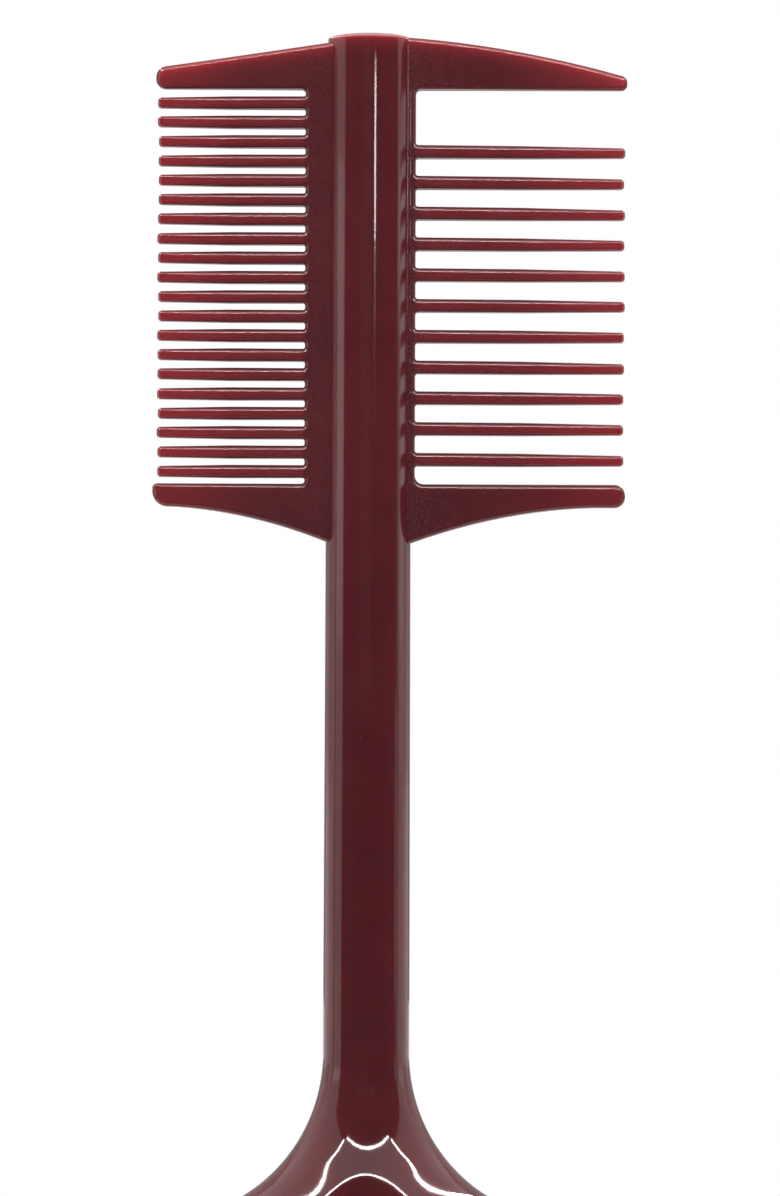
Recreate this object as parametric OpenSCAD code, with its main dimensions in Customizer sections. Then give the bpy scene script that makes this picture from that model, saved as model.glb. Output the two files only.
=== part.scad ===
// Tint brush: a round handle with a double-sided comb at the top and a flared, tufted head below.
// The handle's axis is Z and the bristle tips lie at z = 0. The combs and the long side of the head
// lie in the XZ plane, with the fine comb on -X and the wide comb on +X.

/* [Handle] */
// Length of the round handle, from the start of the flare to its domed end
handle_length = 127.5; // [105:0.5:160]
// Diameter just above the flare
neck_d = 10.8; // [9.8:0.1:11.2]
// Diameter at the domed end
end_d = 10.4; // [9:0.1:10.8]
// Height of the dome
dome_height = 0.8; // [0.4:0.1:1.6]

/* [Fine comb] */
// Distance from the handle's axis to the tooth tips
fine_reach = 26.5; // [20:0.5:34]
// Distance from the handle's axis to the tooth roots
fine_bar_reach = 8; // [7:0.25:10]
// Number of teeth
fine_teeth = 20; // [12:1:22]
// Distance from the upper guard to the first tooth's centre
fine_first_gap = 1.65; // [1.2:0.05:3]
// Distance from the last tooth's centre to the lower guard
fine_last_gap = 1.5; // [1.2:0.05:3]
// Width of a tooth at its root
fine_root_w = 1.65; // [1:0.05:1.8]
// Width of a tooth halfway along
fine_mid_w = 1.7; // [0.9:0.05:1.8]
// Width of a tooth near its tip
fine_tip_w = 1.4; // [0.6:0.05:1.5]
// Thickness of this comb, front to back, at the handle's axis
fine_axis_t = 5.6; // [4:0.1:6.5]

/* [Wide comb] */
// Distance from the handle's axis to the tooth tips
wide_reach = 32; // [24:0.5:38]
// Distance from the handle's axis to the tooth roots
wide_bar_reach = 5.8; // [5.8:0.1:8]
// Number of teeth
wide_teeth = 11; // [6:1:11]
// Distance from the upper guard to the first tooth's centre, which leaves the sectioning gap
wide_first_gap = 7.7; // [3:0.1:9]
// Distance from the last tooth's centre to the lower guard
wide_last_gap = 3.05; // [1.5:0.05:4]
// Width of a tooth at its root
wide_root_w = 1.75; // [1.2:0.05:2.2]
// Width of a tooth halfway along
wide_mid_w = 1.7; // [1.1:0.05:2.2]
// Width of a tooth near its tip
wide_tip_w = 1.35; // [0.8:0.05:1.6]
// Thickness of this comb, front to back, at the handle's axis
wide_axis_t = 4.9; // [4:0.1:6.5]

/* [Both combs] */
// Distance from the end of the handle down to the upper guards' inner edges
upper_guard_depth = 7.1; // [6.9:0.1:7.4]
// Height between the upper and the lower guards
comb_height = 49.2; // [46:0.1:54]
// Thickness of both combs, front to back, at the tooth tips
comb_tip_t = 2; // [1.2:0.1:3]
// Share of a tooth's width that its flat front face takes
tooth_flat_share = 0.45; // [0.3:0.05:0.8]

/* [Head] */
// Width of the head at the bristles
head_w = 48; // [47:1:60]
// Depth of the head, front to back
head_d = 24; // [23.5:0.5:26]
// Radius of the hollow flare below the handle, seen from the front
flare_r = 21; // [16:0.5:24]
// Radius of the round shoulder below that flare
shoulder_r = 12.5; // [10:0.5:16]
// Radius of the hollow flare, seen from the side
side_flare_r = 23; // [20:0.5:26]
// Radius of the round shoulder, seen from the side
side_shoulder_r = 14; // [8:0.5:14]
// Height of the straight block that holds the bristles
base_height = 7; // [6.5:0.5:12]

/* [Bristles] */
// Free length of the bristles
bristle_length = 27; // [18:0.5:36]
// Diameter of a tuft
tuft_d = 2.7; // [2:0.1:2.8]
// Distance from one tuft to the next along a row
tuft_pitch = 4.2; // [3.6:0.1:4.3]
// Distance from one row to the next
row_spacing = 4.2; // [3.4:0.1:4.2]
// Depth of the drilled holes
hole_depth = 6; // [4:0.5:6]

/* [Hidden] */
$fn = 64;
PLASTIC = "#5c1d24";
NYLON = "#26211f";
WIRE = "#b59a58";

// Combs, as [full reach, thickness at the handle's axis]
FINE = [fine_reach + 0.5, fine_axis_t];
WIDE = [wide_reach + 0.2, wide_axis_t];
// Guards, as [reach, width at the handle's axis, width at the tip, inner tip radius, outer tip
// radius, bow of the outer edge]: a positive bow swells the edge and a negative one hollows it.
FINE_UPPER = [fine_reach + 0.2, 6.6, 2.95, 1.3, 1.35, 0];
FINE_LOWER = [fine_reach + 0.5, 9.6, 2.9, 0.6, 1.9, -1.4];
WIDE_UPPER = [wide_reach + 0.2, 6.8, 2, 0.95, 0.95, 0.95];
WIDE_LOWER = [wide_reach + 0.1, 9.6, 2.9, 1.4, 1.45, -1.75];

edge_steps = 10;
arc_steps = 6;
dome_steps = 10;
ring_points = 48;
flare_steps = 16;
tooth_tip_round = 0.5;
tooth_end_share = 0.7;
tuft_clearance = 0.02;
// Flat wire that holds each folded tuft: thickness, length across the hole and height
anchor = [0.4, 3, 1.5];
anchor_above_hole_end = 0.6;
row_names = ["front", "mid_front", "middle", "mid_back", "back"];
row_counts = [9, 10, 9, 10, 9];
rows = [0 : len(row_counts) - 1];

neck_radius = neck_d / 2;
end_radius = end_d / 2;
// Curves that widen the handle into the head, as [hollow radius, round radius, widening]
WIDTH_CURVE = [flare_r, shoulder_r, head_w / 2 - neck_radius];
DEPTH_CURVE = [side_flare_r, side_shoulder_r, head_d / 2 - neck_radius];
flare_height = curve_height(WIDTH_CURVE);
base_top_z = bristle_length + base_height;
neck_z = base_top_z + flare_height;
end_z = neck_z + handle_length;
hole_end_z = bristle_length + hole_depth;
comb_top_z = end_z - upper_guard_depth;
comb_bottom_z = comb_top_z - comb_height;

function tuft_name(row, i) = str("tuft_", row_names[row], "_", i < 10 ? "0" : "", i);
function tuft_place(row, i) = [
    (i - (row_counts[row] + 1) / 2) * tuft_pitch,
    (row - (len(row_counts) - 1) / 2) * row_spacing
];

// Points of an arc about a centre, from one angle to another
function arc(centre, r, from, to) = [
    for (k = [0 : arc_steps])
        let (a = from + (to - from) * k / arc_steps)
        centre + r * [cos(a), sin(a)]
];

// A hollow arc and a round arc that meet at one slope, and how far they widen at a given drop
function curve_turn(c) = acos(1 - c[2] / (c[0] + c[1]));
function curve_height(c) = (c[0] + c[1]) * sin(curve_turn(c));
function widening(c, drop) =
    let (left = curve_height(c) - drop)
    drop < c[0] * sin(curve_turn(c)) ? c[0] - sqrt(c[0] ^ 2 - drop ^ 2)
    : left > 0 ? c[2] - c[1] + sqrt(c[1] ^ 2 - left ^ 2)
    : c[2];

// One level of the flare: an ellipse at the handle that turns into a flat-sided oval at the base
function flare_ring(share) =
    let (
        drop = flare_height * share,
        a = neck_radius + widening(WIDTH_CURVE, drop),
        b = neck_radius + widening(DEPTH_CURVE, drop)
    )
    [
        for (k = [0 : ring_points - 1])
            let (t = 360 * k / ring_points, ellipse = a * cos(t), oval = sign(cos(t)) * (a - b) + b * cos(t))
            [ellipse + (oval - ellipse) * share, b * sin(t), neck_z - drop]
    ];

// Outline of a guard, with its inner edge along y = 0
function guard_outline(g) =
    let (flat_end = g[0] - g[4])
    concat(
        [[0, 0]],
        arc([g[0] - g[3], g[3]], g[3], -90, 0),
        arc([flat_end, g[2] - g[4]], g[4], 0, 90),
        [
            for (k = [1 : edge_steps])
                let (u = 1 - k / edge_steps)
                [flat_end * u, g[1] + (g[2] - g[1]) * u + 4 * g[5] * u * (1 - u)]
        ]
    );

// Skin over a list of rings that have the same number of points, closed at both ends
module loft(rings) {
    n = len(rings[0]);
    sides = [
        for (r = [0 : len(rings) - 2]) for (k = [0 : n - 1])
            let (a = r * n + k, b = r * n + (k + 1) % n)
            each [[a, b, b + n], [a, b + n, a + n]]
    ];
    first = [for (k = [n - 1 : -1 : 0]) k];
    last = [for (k = [0 : n - 1]) (len(rings) - 1) * n + k];
    polyhedron([for (ring = rings) each ring], concat(sides, [first, last]), convexity = 4);
}

// Thickness of a comb at a distance from the handle's axis
function comb_t(comb, x) = comb[1] + (comb_tip_t - comb[1]) * x / comb[0];

// A comb plate of a given outline in XZ, thinner towards the tips and cut to the handle's surface
module comb_plate(comb, outline) {
    wedge = [for (x = [0, comb[0]]) for (side = [-1, 1]) [x, side * comb_t(comb, x) / 2]];
    difference() {
        intersection() {
            rotate([90, 0, 0]) linear_extrude(height = comb[1], center = true) polygon(outline);
            linear_extrude(height = end_z) polygon([wedge[0], wedge[2], wedge[3], wedge[1]]);
        }
        handle_solid();
    }
}

module upper_guard(comb, guard) {
    comb_plate(comb, [for (p = guard_outline(guard)) [p.x, comb_top_z + p.y]]);
}

module lower_guard(comb, guard) {
    comb_plate(comb, [for (p = guard_outline(guard)) [p.x, comb_bottom_z - p.y]]);
}

module comb_bar(comb, reach) {
    comb_plate(comb, [[0, comb_bottom_z], [reach, comb_bottom_z], [reach, comb_top_z], [0, comb_top_z]]);
}

// One level of a tooth: six corners, widest at the parting plane and with a flat front and back
function tooth_ring(x, w, t) = [
    for (c = [[-1, tooth_flat_share], [0, 1], [1, tooth_flat_share], [1, -tooth_flat_share], [0, -1],
              [-1, -tooth_flat_share]])
        [x, c.x * t / 2, c.y * w / 2]
];

// Teeth along +X, from the bar to the tips
module teeth(comb, count, first_gap, last_gap, root_x, tip_x, root_w, mid_w, tip_w) {
    pitch = (comb_height - first_gap - last_gap) / (count - 1);
    mid_x = (root_x + tip_x) / 2;
    round_x = tip_x - tooth_tip_round;
    for (k = [0 : count - 1])
        translate([0, 0, comb_top_z - first_gap - k * pitch])
            loft([
                tooth_ring(root_x, root_w, comb_t(comb, root_x)),
                tooth_ring(mid_x, mid_w, comb_t(comb, mid_x)),
                tooth_ring(round_x, tip_w, comb_t(comb, round_x)),
                tooth_ring(tip_x, tip_w * tooth_end_share, comb_t(comb, tip_x) * tooth_end_share)
            ]);
}

module handle_solid() {
    rotate_extrude()
        polygon(concat(
            [[0, neck_z], [neck_radius, neck_z]],
            [
                for (k = [dome_steps : -1 : 0])
                    let (a = 90 * k / dome_steps)
                    [end_radius * sin(a), end_z - dome_height * (1 - cos(a))]
            ]
        ));
}

module anchor_bar(row, i) {
    p = tuft_place(row, i);
    translate([p.x, p.y, hole_end_z - anchor_above_hole_end - anchor.z / 2])
        cube([anchor.y, anchor.x, anchor.z], center = true);
}

module all_anchors() {
    for (row = rows) for (i = [1 : row_counts[row]]) anchor_bar(row, i);
}

module handle_rod() {
    color(PLASTIC) handle_solid();
}

module fine_comb_bar() {
    color(PLASTIC) mirror([1, 0, 0]) comb_bar(FINE, fine_bar_reach);
}

module fine_comb_upper_guard() {
    color(PLASTIC) mirror([1, 0, 0]) upper_guard(FINE, FINE_UPPER);
}

module fine_comb_lower_guard() {
    color(PLASTIC) mirror([1, 0, 0]) lower_guard(FINE, FINE_LOWER);
}

module fine_comb_teeth() {
    color(PLASTIC) mirror([1, 0, 0])
        teeth(FINE, fine_teeth, fine_first_gap, fine_last_gap, fine_bar_reach, fine_reach, fine_root_w,
              fine_mid_w, fine_tip_w);
}

module wide_comb_bar() {
    color(PLASTIC) comb_bar(WIDE, wide_bar_reach);
}

module wide_comb_upper_guard() {
    color(PLASTIC) upper_guard(WIDE, WIDE_UPPER);
}

module wide_comb_lower_guard() {
    color(PLASTIC) lower_guard(WIDE, WIDE_LOWER);
}

module wide_comb_teeth() {
    color(PLASTIC)
        teeth(WIDE, wide_teeth, wide_first_gap, wide_last_gap, wide_bar_reach, wide_reach, wide_root_w,
              wide_mid_w, wide_tip_w);
}

module head_flare() {
    color(PLASTIC) loft([for (k = [0 : flare_steps]) flare_ring(k / flare_steps)]);
}

module head_base() {
    end_x = (head_w - head_d) / 2;
    color(PLASTIC)
        difference() {
            translate([0, 0, bristle_length]) linear_extrude(height = base_height) {
                square([2 * end_x, head_d], center = true);
                for (side = [-1, 1]) translate([side * end_x, 0]) circle(d = head_d);
            }
            for (row = rows) for (i = [1 : row_counts[row]])
                translate(concat(tuft_place(row, i), bristle_length - 1))
                    cylinder(h = hole_depth + 1, d = tuft_d + 2 * tuft_clearance);
            all_anchors();
        }
}

module tuft_anchors() {
    color(WIRE) all_anchors();
}

module tuft(row, i) {
    color(NYLON)
        difference() {
            translate(concat(tuft_place(row, i), 0)) cylinder(h = hole_end_z, d = tuft_d);
            anchor_bar(row, i);
        }
}

handle_rod();
fine_comb_bar();
fine_comb_upper_guard();
fine_comb_lower_guard();
fine_comb_teeth();
wide_comb_bar();
wide_comb_upper_guard();
wide_comb_lower_guard();
wide_comb_teeth();
head_flare();
head_base();
tuft_anchors();
for (row = rows) for (i = [1 : row_counts[row]])
    tuft(row, i);
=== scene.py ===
import math
import random

import bmesh
import bpy
import numpy as np
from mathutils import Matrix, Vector


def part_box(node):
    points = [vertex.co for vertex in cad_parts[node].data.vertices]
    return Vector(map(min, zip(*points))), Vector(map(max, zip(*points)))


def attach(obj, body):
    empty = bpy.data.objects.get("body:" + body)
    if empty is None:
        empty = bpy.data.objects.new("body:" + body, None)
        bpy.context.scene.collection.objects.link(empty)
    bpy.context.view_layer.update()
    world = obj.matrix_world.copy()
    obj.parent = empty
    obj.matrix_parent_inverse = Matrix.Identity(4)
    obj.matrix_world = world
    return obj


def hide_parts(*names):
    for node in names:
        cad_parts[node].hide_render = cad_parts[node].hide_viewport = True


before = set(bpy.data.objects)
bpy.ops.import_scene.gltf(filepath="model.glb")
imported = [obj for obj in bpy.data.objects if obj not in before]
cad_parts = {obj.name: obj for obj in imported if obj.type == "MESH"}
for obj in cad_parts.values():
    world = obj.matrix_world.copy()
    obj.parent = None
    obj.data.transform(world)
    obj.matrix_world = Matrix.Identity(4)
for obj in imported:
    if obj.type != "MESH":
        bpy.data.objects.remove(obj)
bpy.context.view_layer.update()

MM = 0.001
BODY = "root"

# ---------------------------------------------------------------- places taken from the frame

rod_low, rod_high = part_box("handle_rod")
base_low, base_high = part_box("head_base")
NECK_Z = rod_low.z
END_Z = rod_high.z
NECK_R = rod_high.x
END_R = NECK_R - 0.2 * MM
HEAD_W = base_high.x - base_low.x
HEAD_D = base_high.y - base_low.y
BASE_TOP_Z = base_high.z
BRISTLE_TOP_Z = base_low.z
tuft_low, tuft_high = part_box("tuft_middle_05")
HOLE_DEPTH = tuft_high.z - BRISTLE_TOP_Z
TUFT_R = (tuft_high.x - tuft_low.x) / 2
TUFT_ROWS = {"front": 9, "mid_front": 10, "middle": 9, "mid_back": 10, "back": 9}
TUFT_NAMES = [f"tuft_{row}_{i:02d}" for row, count in TUFT_ROWS.items() for i in range(1, count + 1)]


# ---------------------------------------------------------------- meshes

def link(obj):
    bpy.context.scene.collection.objects.link(obj)
    return obj


def mesh_object(name, points, faces, sharp_angle=None):
    """A smooth-shaded object of these points and faces, with its normals outwards."""
    mesh = bpy.data.meshes.new(name)
    mesh.from_pydata([tuple(p) for p in points], [], faces)
    bm = bmesh.new()
    bm.from_mesh(mesh)
    bmesh.ops.recalc_face_normals(bm, faces=bm.faces)
    bm.to_mesh(mesh)
    bm.free()
    mesh.shade_smooth()
    if sharp_angle:
        mesh.set_sharp_from_angle(angle=math.radians(sharp_angle))
    return link(bpy.data.objects.new(name, mesh))


def skin(rings):
    """Points and faces of a closed skin over rings that have the same number of points."""
    count = len(rings[0])
    points = [p for ring in rings for p in ring]
    faces = []
    for r in range(len(rings) - 1):
        for k in range(count):
            a, b = r * count + k, r * count + (k + 1) % count
            faces.append((a, b, b + count, a + count))
    faces.append(tuple(range(count - 1, -1, -1)))
    faces.append(tuple(range(len(points) - count, len(points))))
    return points, faces


def weighted_normals(obj):
    """Lets the large faces set the shading, so that flats stay flat beside their rounded edges."""
    modifier = obj.modifiers.new("weighted_normals", "WEIGHTED_NORMAL")
    modifier.keep_sharp = True
    modifier.weight = 100


# ---------------------------------------------------------------- handle moulding

# The flare seen from the front and from the side, as (radius of the hollow arc, radius of the round
# arc below it, how far the two widen the handle)
WIDTH_CURVE = (21 * MM, 12.5 * MM, HEAD_W / 2 - NECK_R)
DEPTH_CURVE = (23 * MM, 14 * MM, HEAD_D / 2 - NECK_R)
DOME_HEIGHT = 0.8 * MM
MOUTH_ROUND = 0.6 * MM
HOLE_CLEARANCE = 0.02 * MM
HOLE_SIDES = 24
SHARP_ANGLE = 40
RING_POINTS = 128
RING_SAMPLES = 2049
DOME_STEPS = 24
ROD_STEPS = 32
FLARE_STEPS = 48
BASE_STEPS = 4
MOUTH_STEPS = 5


def curve_turn(curve):
    return math.acos(1 - curve[2] / (curve[0] + curve[1]))


def curve_height(curve):
    return (curve[0] + curve[1]) * math.sin(curve_turn(curve))


def widening(curve, drop):
    """How far a hollow arc and then a round arc widen the handle at a drop below the neck."""
    hollow, rounded_r, gain = curve
    left = curve_height(curve) - drop
    if drop < hollow * math.sin(curve_turn(curve)):
        return hollow - math.sqrt(hollow**2 - drop**2)
    if left > 0:
        return gain - rounded_r + math.sqrt(rounded_r**2 - left**2)
    return gain


def even_ring(half_width, half_depth, flat_share, z):
    """An ellipse that is split by flats as flat_share goes to 1, with evenly spaced points."""
    t = np.linspace(0, 2 * np.pi, RING_SAMPLES)
    ellipse = half_width * np.cos(t)
    oval = np.sign(np.round(np.cos(t), 9)) * (half_width - half_depth) + half_depth * np.cos(t)
    x = ellipse + (oval - ellipse) * flat_share
    y = half_depth * np.sin(t)
    length = np.concatenate([[0], np.cumsum(np.hypot(np.diff(x), np.diff(y)))])
    at = np.linspace(0, length[-1], RING_POINTS, endpoint=False)
    return [(a, b, z) for a, b in zip(np.interp(at, length, x), np.interp(at, length, y))]


def handle_rings():
    """Rings from the domed end, down the rod and the flare, to the rounded mouth of the head."""
    rings = []
    for k in range(1, DOME_STEPS + 1):
        a = math.pi / 2 * k / DOME_STEPS
        radius = END_R * math.sin(a)
        rings.append(even_ring(radius, radius, 0, END_Z - DOME_HEIGHT * (1 - math.cos(a))))
    rod_top = END_Z - DOME_HEIGHT
    for k in range(1, ROD_STEPS + 1):
        share = k / ROD_STEPS
        radius = END_R + (NECK_R - END_R) * share
        rings.append(even_ring(radius, radius, 0, rod_top + (NECK_Z - rod_top) * share))
    height = curve_height(WIDTH_CURVE)
    for k in range(1, FLARE_STEPS + 1):
        share = k / FLARE_STEPS
        drop = height * share
        width = NECK_R + widening(WIDTH_CURVE, drop)
        depth = NECK_R + widening(DEPTH_CURVE, drop)
        rings.append(even_ring(width, depth, share, NECK_Z - drop))
    for k in range(1, BASE_STEPS + 1):
        z = BASE_TOP_Z + (BRISTLE_TOP_Z + MOUTH_ROUND - BASE_TOP_Z) * k / BASE_STEPS
        rings.append(even_ring(HEAD_W / 2, HEAD_D / 2, 1, z))
    for k in range(1, MOUTH_STEPS + 1):
        angle = math.pi / 2 * k / MOUTH_STEPS
        pull = MOUTH_ROUND * (1 - math.cos(angle))
        z = BRISTLE_TOP_Z + MOUTH_ROUND * (1 - math.sin(angle))
        rings.append(even_ring(HEAD_W / 2 - pull, HEAD_D / 2 - pull, 1, z))
    return rings


def drill_holes(obj, radius, depth):
    """Cuts one blind hole for each tuft into the underside of the head."""
    points, faces = [], []
    for name in TUFT_NAMES:
        low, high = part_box(name)
        centre = (low + high) / 2
        rings = [
            [
                (centre.x + radius * math.cos(a), centre.y + radius * math.sin(a), z)
                for a in np.linspace(0, 2 * math.pi, HOLE_SIDES, endpoint=False)
            ]
            for z in (BRISTLE_TOP_Z - MM, BRISTLE_TOP_Z + depth)
        ]
        ring_points, ring_faces = skin(rings)
        faces += [tuple(i + len(points) for i in face) for face in ring_faces]
        points += ring_points
    drill = mesh_object("drill", points, faces)
    cut = obj.modifiers.new("holes", "BOOLEAN")
    cut.operation = "DIFFERENCE"
    cut.solver = "EXACT"
    cut.object = drill
    depsgraph = bpy.context.evaluated_depsgraph_get()
    mesh = bpy.data.meshes.new_from_object(obj.evaluated_get(depsgraph))
    obj.modifiers.clear()
    obj.data = mesh
    bpy.data.objects.remove(drill)
    mesh.shade_smooth()
    mesh.set_sharp_from_angle(angle=math.radians(SHARP_ANGLE))


def make_handle(material):
    handle = mesh_object("handle_moulding", *skin(handle_rings()))
    drill_holes(handle, TUFT_R + HOLE_CLEARANCE, HOLE_DEPTH)
    weighted_normals(handle)
    handle.data.materials.append(material)
    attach(handle, BODY)
    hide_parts("handle_rod", "head_flare", "head_base")


# ---------------------------------------------------------------- combs

# Degrees of an arc from one of its points to the next
ARC_STEP = 15
# Where the combs start, hidden in the handle
INSIDE_ROD = 3.4 * MM
# Thickness of both combs at their tips
TIP_T = 2 * MM
# How far the walls lean in, from the parting plane to where the rounded edge starts
DRAFT_INSET = 0.06 * MM
EDGE_STEPS = 8
GUARD_POINTS = 16
# Most of a guard's tip radius that its rounded edge may take, so that the rings don't cross
TIP_EDGE_SHARE = 0.85
# In mm, how far a tooth's tip strays up or down and how far it falls short
TOOTH_STRAY = 0.05
TOOTH_SHORT = 0.18


def comb_measures(name, side, **sizes):
    """The comb's places, from its nodes' boxes, with x measured away from the handle."""
    top_low, top_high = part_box(name + "_upper_guard")
    bottom_low, bottom_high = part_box(name + "_lower_guard")
    bar_low, bar_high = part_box(name + "_bar")
    teeth_low, teeth_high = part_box(name + "_teeth")
    far = max if side > 0 else min
    sizes.update(
        name=name,
        side=side,
        top_z=top_low.z,
        bottom_z=bottom_high.z,
        top_reach=side * far(top_low.x, top_high.x),
        bottom_reach=side * far(bottom_low.x, bottom_high.x),
        bar_reach=side * far(bar_low.x, bar_high.x),
        tooth_reach=side * far(teeth_low.x, teeth_high.x),
        teeth_top=teeth_high.z,
        teeth_bottom=teeth_low.z,
    )
    return sizes


# Guards are (width at the axis, width at the tip, inner tip radius, outer tip radius, bow), in mm.
FINE = comb_measures(
    "fine_comb", -1, count=20, root_w=1.65 * MM, mid_w=1.7 * MM, tip_w=1.4 * MM, axis_t=5.6 * MM,
    tooth_tip_r=0.48 * MM, root_r=0.22 * MM, droop=0, upper=(6.6, 2.95, 1.3, 1.35, 0),
    lower=(9.6, 2.9, 0.6, 1.9, -1.4), top_corner_r=0.48 * MM, bottom_corner_r=0.36 * MM, seed=3,
)
WIDE = comb_measures(
    "wide_comb", 1, count=11, root_w=1.75 * MM, mid_w=1.7 * MM, tip_w=1.35 * MM, axis_t=4.9 * MM,
    tooth_tip_r=0.46 * MM, root_r=0.3 * MM, droop=0.12 * MM, upper=(6.8, 2, 0.8, 0.9, 0.95),
    lower=(9.6, 2.9, 1.35, 1.35, -1.75), top_corner_r=0.6 * MM, bottom_corner_r=1.1 * MM, seed=5,
)
# Widths of the moulding's rounded edges
PLATE_EDGE = 0.72 * MM
TOOTH_ROOT_EDGE = 0.74 * MM
TOOTH_MID_EDGE = 0.76 * MM
TOOTH_TIP_EDGE = 0.45 * MM


def rounded(corners):
    """Points of a closed outline of (x, z, radius, edge) corners, with an arc at each radius.

    The edge is how wide the moulding's rounded edge is there, and it comes back with each point.
    """
    points = []
    count = len(corners)
    for i, (x, z, radius, edge) in enumerate(corners):
        here = Vector((x, z))
        if radius == 0:
            points.append((here, edge))
            continue
        back = (Vector(corners[i - 1][:2]) - here).normalized()
        ahead = (Vector(corners[(i + 1) % count][:2]) - here).normalized()
        half = back.angle(ahead) / 2
        centre = here + (back + ahead).normalized() * (radius / math.sin(half))
        start = here + back * (radius / math.tan(half)) - centre
        turn = start.angle_signed(here + ahead * (radius / math.tan(half)) - centre)
        steps = max(2, round(abs(math.degrees(turn)) / ARC_STEP))
        for k in range(steps + 1):
            a = -turn * k / steps
            c, s = math.cos(a), math.sin(a)
            points.append((centre + Vector((c * start.x - s * start.y, s * start.x + c * start.y)), edge))
    return points


def guard_edge(sizes, reach):
    """A guard's outer edge as (x, distance from the inner edge), from the axis to the corner at the tip."""
    axis_w, tip_w, _, outer_r, bow = sizes
    edge = []
    for x in np.linspace(INSIDE_ROD, reach, GUARD_POINTS):
        u = x / (reach - outer_r * MM)
        edge.append((x, (axis_w + (tip_w - axis_w) * u + 4 * bow * u * (1 - u)) * MM))
    return edge


def comb_outline(comb):
    """The comb's outline at the parting plane, anticlockwise, with its teeth along +X."""
    rng = random.Random(comb["seed"])
    top, bottom, bar, reach = comb["top_z"], comb["bottom_z"], comb["bar_reach"], comb["bottom_reach"]
    _, _, inner_r, outer_r, _ = comb["lower"]
    *edge, tip = guard_edge(comb["lower"], reach)
    corners = [(x, bottom - w, 0, PLATE_EDGE) for x, w in edge[:-1]]
    corners.append((reach, bottom - tip[1], outer_r * MM, PLATE_EDGE))
    corners.append((reach, bottom, inner_r * MM, min(PLATE_EDGE, TIP_EDGE_SHARE * inner_r * MM)))
    corners.append((bar, bottom, comb["bottom_corner_r"], PLATE_EDGE))
    root, mid, end = comb["root_w"] / 2, comb["mid_w"] / 2, comb["tip_w"] / 2
    first = comb["teeth_bottom"] + max(root, mid)
    last = comb["teeth_top"] - max(root, mid)
    root_r, tip_r = comb["root_r"], comb["tooth_tip_r"]
    mid_x = (bar + comb["tooth_reach"]) / 2
    for k in range(comb["count"]):
        z = first + (last - first) * k / (comb["count"] - 1)
        tip_z = z - comb["droop"] + rng.uniform(-TOOTH_STRAY, TOOTH_STRAY) * MM
        mid_z = z + (tip_z - z) / 3
        tip_x = comb["tooth_reach"] - rng.uniform(0, TOOTH_SHORT) * MM
        corners.append((bar, z - root, root_r, TOOTH_ROOT_EDGE))
        corners.append((mid_x, mid_z - mid, 0, TOOTH_MID_EDGE))
        corners.append((tip_x, tip_z - end, tip_r, TOOTH_TIP_EDGE))
        corners.append((tip_x, tip_z + end, tip_r, TOOTH_TIP_EDGE))
        corners.append((mid_x, mid_z + mid, 0, TOOTH_MID_EDGE))
        corners.append((bar, z + root, root_r, TOOTH_ROOT_EDGE))
    corners.append((bar, top, comb["top_corner_r"], PLATE_EDGE))
    reach = comb["top_reach"]
    _, _, inner_r, outer_r, _ = comb["upper"]
    *edge, tip = guard_edge(comb["upper"], reach)
    corners.append((reach, top, inner_r * MM, PLATE_EDGE))
    corners.append((reach, top + tip[1], outer_r * MM, PLATE_EDGE))
    corners += [(x, top + w, 0, PLATE_EDGE) for x, w in reversed(edge[:-1])]
    return rounded(corners)


def inward(points):
    """The direction at each point of an anticlockwise outline that keeps an inset even."""
    result = []
    count = len(points)
    for i in range(count):
        a = (points[i] - points[i - 1]).normalized()
        b = (points[(i + 1) % count] - points[i]).normalized()
        na, nb = Vector((-a.y, a.x)), Vector((-b.y, b.x))
        result.append((na + nb) / (1 + na.dot(nb)))
    return result


def comb_rings(comb):
    """Rings from the back face, over its rounded edge and the drafted wall, to the front face."""
    outline = comb_outline(comb)
    directions = inward([point for point, _ in outline])
    longest = max(comb["top_reach"], comb["bottom_reach"])
    half = [[(comb["side"] * point.x, 0, point.y) for point, _ in outline]]
    for k in range(EDGE_STEPS + 1):
        angle = math.pi / 2 * k / EDGE_STEPS
        ring = []
        for (point, edge), direction in zip(outline, directions):
            p = point + direction * (DRAFT_INSET + (edge - DRAFT_INSET) * (1 - math.cos(angle)))
            face = (comb["axis_t"] + (TIP_T - comb["axis_t"]) * p.x / longest) / 2
            ring.append((comb["side"] * p.x, face - edge * (1 - math.sin(angle)), p.y))
        half.append(ring)
    front = [[(x, -y, z) for x, y, z in ring] for ring in half[1:]]
    return list(reversed(half)) + front


def make_comb(comb, material):
    """One comb with its bar, guards and teeth in a single moulded skin."""
    obj = mesh_object(comb["name"], *skin(comb_rings(comb)))
    weighted_normals(obj)
    obj.data.materials.append(material)
    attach(obj, BODY)
    parts = ("bar", "upper_guard", "lower_guard", "teeth")
    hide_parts(*[f"{comb['name']}_{part}" for part in parts])


# ---------------------------------------------------------------- bristles

FILAMENTS = 44
FILAMENT_R = 0.11 * MM
FILAMENT_SIDES = 6
FILAMENT_STEPS = 7
# Share of a filament's radius that it loses by its tip
FILAMENT_TAPER = 0.35
# A tuft's tip is this much wider than its root, from this share of the way down
TIP_SPLAY = 0.42
FLARE_START = 0.25
FLARE_POWER = 1.6
# How far the outermost tufts lean outwards, and how much any tuft leans at random, in mm
OUTWARD_LEAN = 0.5
TUFT_LEAN = 0.12
# A filament's random turn about its tuft in radians, and its stray, bend and shortness in mm
FILAMENT_TURN = 0.2
TIP_STRAY = 0.1
FILAMENT_BEND = 0.05
FILAMENT_SHORT = 0.12


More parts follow.
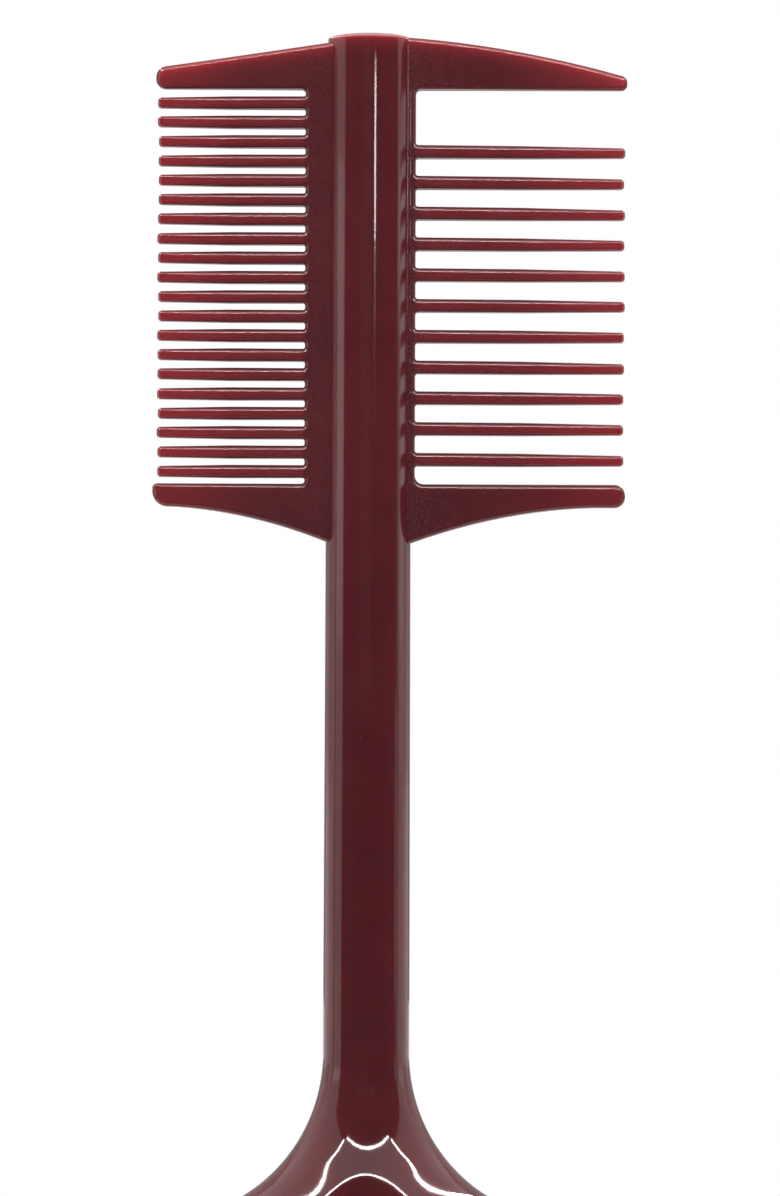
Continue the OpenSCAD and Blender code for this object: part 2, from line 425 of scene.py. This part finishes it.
def filament(base, tip, top_z, tip_z, bend):
    """Points and faces of one tapered filament, from its base in the head to its tip."""
    rings = []
    for k in range(FILAMENT_STEPS + 1):
        u = k / FILAMENT_STEPS
        spread = max(0, u - FLARE_START) / (1 - FLARE_START)
        centre = base.lerp(tip, spread**FLARE_POWER) + bend * math.sin(math.pi * u)
        z = top_z + (tip_z - top_z) * u
        radius = FILAMENT_R * (1 - FILAMENT_TAPER * u)
        rings.append([
            (centre.x + radius * math.cos(a), centre.y + radius * math.sin(a), z)
            for a in np.linspace(0, 2 * math.pi, FILAMENT_SIDES, endpoint=False)
        ])
    return skin(rings)


def make_tuft(name, material, rng):
    """One tuft of loose filaments, spread evenly over its hole and splayed towards its tip."""
    low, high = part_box(name)
    centre = Vector(((low.x + high.x) / 2, (low.y + high.y) / 2))
    outward = Vector((centre.x / (HEAD_W / 2), centre.y / (HEAD_D / 2)))
    stray = Vector((rng.gauss(0, TUFT_LEAN), rng.gauss(0, TUFT_LEAN)))
    lean = outward * OUTWARD_LEAN * MM + stray * MM
    points, faces = [], []
    for k in range(FILAMENTS):
        reach = math.sqrt((k + 0.5) / FILAMENTS) * (TUFT_R - FILAMENT_R)
        angle = k * math.pi * (3 - math.sqrt(5)) + rng.uniform(-FILAMENT_TURN, FILAMENT_TURN)
        offset = Vector((reach * math.cos(angle), reach * math.sin(angle)))
        wander = Vector((rng.gauss(0, TIP_STRAY), rng.gauss(0, TIP_STRAY))) * MM
        tip = centre + offset * (1 + TIP_SPLAY) + lean + wander
        bend = Vector((rng.gauss(0, FILAMENT_BEND), rng.gauss(0, FILAMENT_BEND))) * MM
        tip_z = abs(rng.gauss(0, FILAMENT_SHORT)) * MM
        part_points, part_faces = filament(centre + offset, tip, high.z, tip_z, bend)
        faces += [tuple(i + len(points) for i in face) for face in part_faces]
        points += part_points
    obj = mesh_object(name + "_bristles", points, faces, sharp_angle=60)
    obj.data.materials.append(material)
    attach(obj, BODY)
    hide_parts(name)


# ---------------------------------------------------------------- materials

class Nodes:
    """Short ways to add and join the nodes of one material or world."""

    def __init__(self, owner):
        owner.use_nodes = True
        self.tree = owner.node_tree
        self.tree.nodes.clear()

    def add(self, kind, inputs=None, **settings):
        node = self.tree.nodes.new("ShaderNode" + kind)
        for key, value in settings.items():
            setattr(node, key, value)
        for key, value in (inputs or {}).items():
            if isinstance(value, bpy.types.NodeSocket):
                self.tree.links.new(value, node.inputs[key])
            else:
                node.inputs[key].default_value = value
        return node

    def math(self, operation, a, b=0.0):
        return self.add("Math", {0: a, 1: b}, operation=operation).outputs[0]

    def ramp(self, value, low, high, out_low=0.0, out_high=1.0, smooth=True):
        node = self.add(
            "MapRange",
            {"Value": value, "From Min": low, "From Max": high, "To Min": out_low, "To Max": out_high},
            interpolation_type="SMOOTHSTEP" if smooth else "LINEAR",
        )
        return node.outputs["Result"]

    def noise(self, vector, scale, detail=2.0, roughness=0.5):
        inputs = {"Vector": vector, "Scale": scale, "Detail": detail, "Roughness": roughness}
        return self.add("TexNoise", inputs).outputs["Fac"]

    def mix(self, factor, a, b):
        node = self.add("Mix", data_type="RGBA")
        for index, value in ((0, factor), (6, a), (7, b)):
            if isinstance(value, bpy.types.NodeSocket):
                self.tree.links.new(value, node.inputs[index])
            else:
                node.inputs[index].default_value = value
        return node.outputs[2]

    def bump(self, height, distance, strength=1.0, normal=None):
        inputs = {"Height": height, "Distance": distance, "Strength": strength}
        if normal is not None:
            inputs["Normal"] = normal
        return self.add("Bump", inputs).outputs["Normal"]


def rgb(r, g, b):
    return (r, g, b, 1.0)


def fading(n, depth, reach):
    """1 at a depth of nothing, falling off exponentially over this reach."""
    scaled = n.math("MULTIPLY", n.math("MAXIMUM", depth, 0.0), -1 / reach)
    return n.math("EXPONENT", scaled)


# Where the painted glow in the domed end starts and how fast it fades, and how much painted light the sides
# get
DOME_PAINTED_GLOW_DROP = 0.6 * MM
DOME_PAINTED_GLOW_FADE = 0.7 * MM
SIDE_PAINTED_GLOW = 0.1
# How much hazy grain, with its painted sparkle, the handle has, and its gloss
ROD_HAZE_SPARKLE = 0.05
ROD_SHINE = 0.5


def rod_look(n, x, y, z):
    """A painted red glow in the domed end and, more faintly, painted light on the sides, hazy grain with
    painted sparkle, and even gloss.
    """
    painted_dome_glow = fading(n, n.math("SUBTRACT", END_Z - DOME_PAINTED_GLOW_DROP, z), DOME_PAINTED_GLOW_FADE)
    aside = n.math("DIVIDE", x, NECK_R)
    # Painted light: the sides are painted a little redder, as the bright walls beside the handle would
    # light them
    sides = n.math("MULTIPLY", n.math("MULTIPLY", aside, aside), SIDE_PAINTED_GLOW)
    glow = n.math("ADD", painted_dome_glow, n.math("MINIMUM", sides, SIDE_PAINTED_GLOW))
    return {"glow": glow, "haze_sparkle": ROD_HAZE_SPARKLE, "shine": ROD_SHINE}


# How strongly a painted glow, standing in for light coming through the plastic, shows at a comb's top edge,
# teeth, wall and thin outer part
TOP_PAINTED_GLOW = 1.8
TOOTH_PAINTED_GLOW = 0.3
RIM_PAINTED_GLOW = 0.12
THIN_PAINTED_GLOW = 0.35
# Depths over which the painted glow of the top edge and of the teeth falls off
TOP_FADE = 0.75 * MM
TOOTH_FADE = 0.4 * MM
# Share of a comb's length at which its thin outer part starts
THIN_START = 0.45
# Share of the painted glow that is left on the walls
WALL_PAINTED_GLOW = 0.1
# Grainy haze with a pale painted sparkle everywhere, and where the extra of it beside the bar starts and
# how fast it fades
COMB_HAZE_SPARKLE = 0.06
BAR_HAZE_SPARKLE_START = 5.5 * MM
BAR_HAZE_SPARKLE_FADE = 5 * MM
# The pale line beside the handle, a painted highlight of the joint, and half its width with and without its
# soft sides
SEAM_HIGHLIGHT_X = 4.68 * MM
SEAM_HIGHLIGHT_SOFT = 0.16 * MM
SEAM_HIGHLIGHT_CORE = 0.06 * MM
# Specular level on the flat faces and far down the walls, where the ridge between them has 1
FACE_SHINE = 0.5
WALL_SHINE = 0.06


def comb_look(comb, haze_sparkle_at_bar, seam_highlight):
    """A comb's painted glow in its thin places and edges, its hazy grain with painted sparkle, its edges'
    shine and a painted highlight line along the handle.
    """
    axis_w, tip_w, _, outer_r, bow = comb["upper"]
    straight = comb["top_reach"] - outer_r * MM
    longest = max(comb["top_reach"], comb["bottom_reach"])

    def look(n, x, y, z):
        away = n.math("ABSOLUTE", x)
        u = n.math("DIVIDE", away, straight)
        slope = n.math("MULTIPLY", u, (tip_w - axis_w + 4 * bow) * MM)
        curve = n.math("MULTIPLY", n.math("MULTIPLY", u, u), -4 * bow * MM)
        edge_z = n.math("ADD", n.math("ADD", slope, curve), comb["top_z"] + axis_w * MM)
        # Painted glow below the top edge, in the teeth, on the walls and in the thin outer part, where
        # light would come through
        top = fading(n, n.math("SUBTRACT", edge_z, z), TOP_FADE)
        beside_bar = n.ramp(away, comb["bar_reach"] - 0.3 * MM, comb["bar_reach"] + 0.7 * MM)
        below = fading(n, n.math("SUBTRACT", comb["bottom_z"], z), TOOTH_FADE)
        above_guard = n.ramp(z, comb["top_z"] + 0.1 * MM, comb["top_z"] - 0.2 * MM)
        teeth = n.math("MULTIPLY", n.math("MULTIPLY", beside_bar, below), above_guard)
        face = n.math("MULTIPLY", away, (TIP_T - comb["axis_t"]) / longest / 2)
        face = n.math("ADD", face, comb["axis_t"] / 2)
        sunk = n.math("SUBTRACT", face, n.math("ABSOLUTE", y))
        rim = n.ramp(sunk, 0.02 * MM, 0.5 * MM)
        thin = n.ramp(away, THIN_START * longest, longest)
        total = n.math("ADD", n.math("MULTIPLY", top, TOP_PAINTED_GLOW), n.math("MULTIPLY", teeth, TOOTH_PAINTED_GLOW))
        total = n.math("ADD", total, n.math("MULTIPLY", rim, RIM_PAINTED_GLOW))
        total = n.math("ADD", total, n.math("MULTIPLY", thin, THIN_PAINTED_GLOW))
        total = n.math("MULTIPLY", total, n.ramp(sunk, 0.06 * MM, 0.3 * MM, 1.0, WALL_PAINTED_GLOW))
        # Hazy grain with painted sparkle, stronger beside the bar
        near = fading(n, n.math("SUBTRACT", away, BAR_HAZE_SPARKLE_START), BAR_HAZE_SPARKLE_FADE)
        haze_sparkle = n.math("ADD", n.math("MULTIPLY", near, haze_sparkle_at_bar), COMB_HAZE_SPARKLE)
        # A pale painted highlight along the joint with the handle
        off_seam_highlight = n.math("ABSOLUTE", n.math("SUBTRACT", away, SEAM_HIGHLIGHT_X))
        haze_sparkle = n.math("ADD", haze_sparkle, n.math("MULTIPLY", n.ramp(off_seam_highlight, SEAM_HIGHLIGHT_SOFT, SEAM_HIGHLIGHT_CORE), seam_highlight))
        ridge = n.ramp(sunk, 0.01 * MM, 0.05 * MM, FACE_SHINE, 1.0)
        wall = n.ramp(sunk, 0.13 * MM, 0.24 * MM, 1.0, WALL_SHINE)
        return {"glow": total, "haze_sparkle": haze_sparkle, "shine": n.math("MULTIPLY", ridge, wall)}

    return look


DARK_BURGUNDY = rgb(0.064, 0.009, 0.0118)
LIGHT_BURGUNDY = rgb(0.094, 0.0128, 0.0165)
# The red of the painted glow, and the pale colour of the painted sparkle in the hazy grain
DEEP_RED = rgb(0.32, 0.028, 0.038)
HAZE_SPARKLE_COLOUR = rgb(0.16, 0.06, 0.07)
DUST_COLOUR = rgb(0.5, 0.42, 0.4)
# The plastic looks lighter from the lower height to the upper one
LIGHTER_FROM_Z = 0.09
LIGHTER_TO_Z = 0.16
HANDLE_ROUGHNESS = (0.04, 0.09)
COMB_ROUGHNESS = (0.09, 0.15)


def burgundy_plastic(name, roughness, look):
    """Moulded plastic: flow mottling, a painted glow in thin and lit places, smudges, grain with painted
    sparkle, a parting line and dust.
    """
    material = bpy.data.materials.new(name)
    n = Nodes(material)
    place = n.add("TexCoord").outputs["Object"]
    x, y, z = n.add("SeparateXYZ", {0: place}).outputs
    local = look(n, x, y, z)
    flow = n.math("MULTIPLY", n.ramp(n.noise(place, 110, 3), 0.35, 0.65), 0.4)
    lighter = n.ramp(z, LIGHTER_FROM_Z, LIGHTER_TO_Z, 0.0, 0.6)
    colour = n.mix(n.math("ADD", flow, lighter), DARK_BURGUNDY, LIGHT_BURGUNDY)
    grain = n.noise(place, 3200, 2, 0.7)
    # Hazy grain: real bumps, lightened in colour by a painted sparkle
    hazy_sparkle = n.math("MINIMUM", n.math("MULTIPLY", n.ramp(grain, 0.42, 0.7), local["haze_sparkle"]), 1.0)
    colour = n.mix(hazy_sparkle, colour, HAZE_SPARKLE_COLOUR)
    # Painted glow: light that would come through thin and lit places, painted into the colour
    colour = n.mix(n.math("MINIMUM", local["glow"], 1.0), colour, DEEP_RED)
    specks = n.add("TexVoronoi", {"Vector": place, "Scale": 420.0}).outputs["Distance"]
    dust = n.math("MULTIPLY", n.ramp(specks, 0.09, 0.05), n.ramp(n.noise(place, 35), 0.6, 0.7))
    colour = n.mix(n.math("MULTIPLY", dust, 0.5), colour, DUST_COLOUR)
    smudge = n.ramp(n.noise(place, 160, 4, 0.6), 0.3, 0.75, *roughness)
    rough = n.math("ADD", smudge, n.math("MULTIPLY", dust, 0.4))
    stretched = n.add("Mapping", {"Vector": place, "Scale": (1.0, 1.0, 0.06)}).outputs[0]
    ripple = n.noise(place, 420, 2)
    drag = n.noise(stretched, 2600, 2)
    parting = n.ramp(n.math("ABSOLUTE", y), 0.2 * MM, 0.05 * MM)
    height = n.math("ADD", n.math("MULTIPLY", ripple, 0.6), n.math("MULTIPLY", drag, 0.08))
    height = n.math("ADD", height, n.math("MULTIPLY", grain, n.math("MULTIPLY", local["haze_sparkle"], 0.6)))
    normal = n.bump(height, 0.02 * MM, 0.6)
    normal = n.bump(parting, 0.04 * MM, 0.5, normal)
    shader = n.add(
        "BsdfPrincipled",
        {
            "Base Color": colour,
            "Roughness": rough,
            "Normal": normal,
            "IOR": 1.5,
            "Specular IOR Level": local["shine"],
            "Subsurface Weight": 0.7,
            "Subsurface Radius": (1.0, 0.22, 0.2),
            "Subsurface Scale": 1.3 * MM,
        },
    )
    n.add("OutputMaterial", {"Surface": shader.outputs[0]})
    return material


def black_nylon():
    """Extruded bristle filament: faint streaks along its length and slightly frosted ends."""
    material = bpy.data.materials.new("black_nylon")
    n = Nodes(material)
    place = n.add("TexCoord").outputs["Object"]
    z = n.add("SeparateXYZ", {0: place}).outputs[2]
    stretched = n.add("Mapping", {"Vector": place, "Scale": (1.0, 1.0, 0.05)}).outputs[0]
    streak = n.noise(stretched, 3000, 3)
    colour = n.mix(n.ramp(streak, 0.3, 0.7), rgb(0.009, 0.008, 0.008), rgb(0.03, 0.026, 0.024))
    frost = n.ramp(z, 1.2 * MM, 0.0)
    colour = n.mix(n.math("MULTIPLY", frost, 0.5), colour, rgb(0.09, 0.08, 0.075))
    rough = n.math("ADD", n.ramp(streak, 0.2, 0.8, 0.28, 0.42), n.math("MULTIPLY", frost, 0.2))
    shader = n.add(
        "BsdfPrincipled",
        {"Base Color": colour, "Roughness": rough, "IOR": 1.53, "Normal": n.bump(streak, 0.01 * MM, 0.5)},
    )
    n.add("OutputMaterial", {"Surface": shader.outputs[0]})
    return material


def anchor_brass():
    """Drawn brass wire with fine die lines and dull tarnish."""
    material = bpy.data.materials.new("anchor_brass")
    n = Nodes(material)
    place = n.add("TexCoord").outputs["Object"]
    stretched = n.add("Mapping", {"Vector": place, "Scale": (0.05, 1.0, 1.0)}).outputs[0]
    lines = n.noise(stretched, 6000, 2)
    tarnish = n.noise(place, 700, 3)
    colour = n.mix(n.ramp(tarnish, 0.4, 0.7), rgb(0.58, 0.42, 0.18), rgb(0.34, 0.22, 0.09))
    shader = n.add(
        "BsdfPrincipled",
        {
            "Base Color": colour,
            "Metallic": 1.0,
            "Roughness": n.ramp(lines, 0.3, 0.7, 0.25, 0.45),
            "Normal": n.bump(lines, 0.01 * MM, 0.5),
        },
    )
    n.add("OutputMaterial", {"Surface": shader.outputs[0]})
    return material


# ---------------------------------------------------------------- camera, floor and light

# Height of the view, and where its centre lies below the handle's end and right of its axis
VIEW_HEIGHT = 149.5 * MM
VIEW_BELOW_END = 70.54 * MM
VIEW_RIGHT = 2.77 * MM
CAMERA_DISTANCE = 0.85
CAMERA_ROLL = 0.22
SENSOR = 36.0


def make_camera():
    data = bpy.data.cameras.new("camera")
    data.sensor_width = SENSOR
    data.lens = SENSOR * CAMERA_DISTANCE / VIEW_HEIGHT
    data.clip_start, data.clip_end = 0.01, 20
    camera = link(bpy.data.objects.new("camera", data))
    camera.location = (VIEW_RIGHT, -CAMERA_DISTANCE, END_Z - VIEW_BELOW_END)
    camera.rotation_euler = (math.pi / 2, math.radians(-CAMERA_ROLL), 0)
    bpy.context.scene.camera = camera


def emitter(name, radiance):
    material = bpy.data.materials.new(name)
    n = Nodes(material)
    shine = n.add("Emission", {"Color": rgb(1, 1, 1), "Strength": radiance})
    n.add("OutputMaterial", {"Surface": shine.outputs[0]})
    return material


def hide_from_camera(obj):
    obj.visible_camera = False
    obj.visible_shadow = False


def card(name, corners, radiance):
    """A flat glowing card, seen by the object and not by the camera."""
    obj = mesh_object(name, corners, [tuple(range(len(corners)))])
    obj.data.materials.append(emitter(name, radiance))
    hide_from_camera(obj)
    return obj


def curved_wall(name, radius, azimuth, height, radiance):
    """Part of a round wall about the object; azimuth 0 is towards the camera and 90 towards +X."""
    start, end = azimuth
    steps = max(2, round(abs(end - start) / WALL_STEP))
    points, faces = [], []
    for k in range(steps + 1):
        a = math.radians(start + (end - start) * k / steps)
        for z in height:
            points.append((radius * math.sin(a), -radius * math.cos(a), z))
    for k in range(steps):
        faces.append((2 * k, 2 * k + 2, 2 * k + 3, 2 * k + 1))
    obj = mesh_object(name, points, faces)
    obj.data.materials.append(emitter(name, radiance))
    hide_from_camera(obj)


def light_bar(name, centre, size_x, size_y, radiance):
    """A rectangular lamp that shines straight down."""
    data = bpy.data.lights.new(name, "AREA")
    data.shape = "RECTANGLE"
    data.size, data.size_y = size_x, size_y
    data.energy = radiance * math.pi * size_x * size_y
    lamp = link(bpy.data.objects.new(name, data))
    lamp.location = centre
    lamp.visible_camera = False
    return lamp


# Brightness of the white all round, and of what looks black in the plastic
TENT = 0.64
DARK = 0.06
# Degrees from one edge of a round wall to the next
WALL_STEP = 3
# The lamp frame: its middle, height, front and back, half its width, its bars and the gaps between them
RIG_X = 0.043
RIG_Z = 0.67
RIG_FRONT = -0.465
RIG_BACK = 1.2
RIG_HALF_W = 0.48
BAR = 0.03
BAR_GAP = 0.04
BAR_RADIANCE = 40
RIG_TURN = 2.5
# Height from one ceiling card to the next
CARD_GAP = 0.01
# The bright line's lower end fades in steps
TAIL_TOP = 0.184
TAIL_STEP = 0.008
TAIL_STEPS = 6


def make_world():
    """White all round: the object is lit a little under the pure white that the camera sees."""
    world = bpy.data.worlds.new("tent")
    bpy.context.scene.world = world
    n = Nodes(world)
    seen = n.add("LightPath").outputs["Is Camera Ray"]
    strength = n.ramp(seen, 0.0, 1.0, TENT, 1.0, smooth=False)
    sky = n.add("Background", {"Color": rgb(1, 1, 1), "Strength": strength})
    n.add("OutputWorld", {"Surface": sky.outputs[0]})


def level(name, z, x, y, radiance):
    """A level card between two values of x and two of y."""
    corners = [(x[0], y[0], z), (x[1], y[0], z), (x[1], y[1], z), (x[0], y[1], z)]
    return card(name, corners, radiance)


def make_dark_side():
    """The dark room on the camera's side, which makes the plastic look dark."""
    curved_wall("dark_room", 0.8, azimuth=(-71, 85.5), height=(-0.2, 0.37), radiance=DARK)
    level("dark_ceiling", RIG_Z + 3 * CARD_GAP, x=(-1.5, 2.3), y=(-1.65, 0), radiance=DARK)
    table = level("dark_table", 0.002, x=(-0.5, 0.5), y=(-0.6, -0.03), radiance=0.05)
    table.visible_diffuse = False


def make_side_lights():
    """The light and grey bands along both sides of the handle, and the grey behind it."""
    curved_wall("left_seam", 0.9, azimuth=(-100, -95), height=(-0.2, 0.2), radiance=0.4)
    curved_wall("left_light", 1.5, azimuth=(-112, -71), height=(0, 0.65), radiance=0.95)
    curved_wall("left_upper_light", 1.45, azimuth=(-97, -71), height=(0.11, 0.27), radiance=1.65)
    curved_wall("grey_room", 0.78, azimuth=(-22, 6), height=(0.1, 0.36), radiance=0.16)
    curved_wall("right_seam", 0.9, azimuth=(87, 92), height=(-0.2, 0.2), radiance=0.25)
    curved_wall("right_light", 1.5, azimuth=(81, 115), height=(0, 0.65), radiance=0.95)
    curved_wall("right_upper_light", 1.45, azimuth=(81, 112), height=(0.11, 0.27), radiance=1.4)
    curved_wall("right_strip", 0.35, azimuth=(80, 85.5), height=(0.05, 0.105), radiance=0.7)
    curved_wall("back_room", 1.2, azimuth=(146, 214), height=(-0.2, 0.7), radiance=0.35)


def make_lamp_frame():
    """The white ceilings, and the lamp bars whose reflections are the bright arc on the flare."""
    z = RIG_Z + 2 * CARD_GAP
    front = [(-3, -0.43, z), (-0.2, -0.43, z), (0.45, -0.345, z), (3, 0.05, z)]
    card("side_ceiling", front + [(3, RIG_BACK, z), (-3, RIG_BACK, z)], 0.9)
    across = (RIG_X - RIG_HALF_W, RIG_X + RIG_HALF_W)
    level("ceiling", RIG_Z + CARD_GAP, x=across, y=(RIG_FRONT, RIG_BACK), radiance=1.2)
    place = (RIG_X + BAR_GAP / 4, RIG_FRONT, RIG_Z)
    bar = light_bar("front_bar", place, 2 * RIG_HALF_W - 1.5 * BAR_GAP, BAR, BAR_RADIANCE)
    bar.rotation_euler.z = math.radians(RIG_TURN)
    for side, gap in ((-1, BAR_GAP), (1, 2.2 * BAR_GAP)):
        start = RIG_FRONT + gap
        place = (RIG_X + side * RIG_HALF_W, (start + RIG_BACK) / 2, RIG_Z)
        light_bar(f"side_bar_{side}", place, BAR, RIG_BACK - start, BAR_RADIANCE)


def make_spine_lights():
    """The bright line down the front of the handle and its fading lower end."""
    curved_wall("spine_strip", 0.6, azimuth=(13.7, 18), height=(0.2, 0.236), radiance=18)
    level("spine_shade", 0.18, x=(0.05, 0.22), y=(-0.62, -0.37), radiance=DARK)
    for k in range(TAIL_STEPS):
        high = TAIL_TOP - TAIL_STEP * k
        height = (high - TAIL_STEP, high)
        curved_wall(f"spine_tail_{k}", 0.36, azimuth=(14, 17.6), height=height, radiance=1.2 * 0.6**k)


def make_light():
    make_world()
    make_dark_side()
    make_side_lights()
    make_lamp_frame()
    make_spine_lights()


def make_floor():
    """A pale floor that runs out to pure white, as a studio sweep does."""
    size = 3.0
    corners = [(-size, -size, 0), (size, -size, 0), (size, size, 0), (-size, size, 0)]
    floor = mesh_object("floor", corners, [(0, 1, 2, 3)])
    material = bpy.data.materials.new("floor")
    n = Nodes(material)
    place = n.add("TexCoord").outputs["Object"]
    distance = n.add("VectorMath", {0: place}, operation="LENGTH").outputs["Value"]
    far = n.ramp(distance, 0.15, 0.45)
    grain = n.ramp(n.noise(place, 300, 3), 0.3, 0.7, 0.86, 0.9)
    grey = n.add("CombineColor", {0: grain, 1: grain, 2: grain}).outputs[0]
    matt = n.add("BsdfPrincipled", {"Base Color": grey, "Roughness": 0.6})
    glow = n.add("Emission", {"Color": rgb(1, 1, 1), "Strength": 1.0})
    both = n.add("MixShader", {0: far, 1: matt.outputs[0], 2: glow.outputs[0]})
    n.add("OutputMaterial", {"Surface": both.outputs[0]})
    floor.data.materials.append(material)


# ---------------------------------------------------------------- the brush

bpy.context.scene.view_settings.view_transform = "Standard"
make_camera()
make_handle(burgundy_plastic("handle_plastic", HANDLE_ROUGHNESS, rod_look))
fine_look = comb_look(FINE, haze_sparkle_at_bar=0.15, seam_highlight=0)
make_comb(FINE, burgundy_plastic("fine_comb_plastic", COMB_ROUGHNESS, fine_look))
wide_look = comb_look(WIDE, haze_sparkle_at_bar=0.35, seam_highlight=2.5)
make_comb(WIDE, burgundy_plastic("wide_comb_plastic", COMB_ROUGHNESS, wide_look))
nylon = black_nylon()
tuft_rng = random.Random(11)
for tuft_name in TUFT_NAMES:
    make_tuft(tuft_name, nylon, tuft_rng)
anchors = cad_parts["tuft_anchors"]
anchors.data.materials.clear()
anchors.data.materials.append(anchor_brass())
make_floor()
make_light()
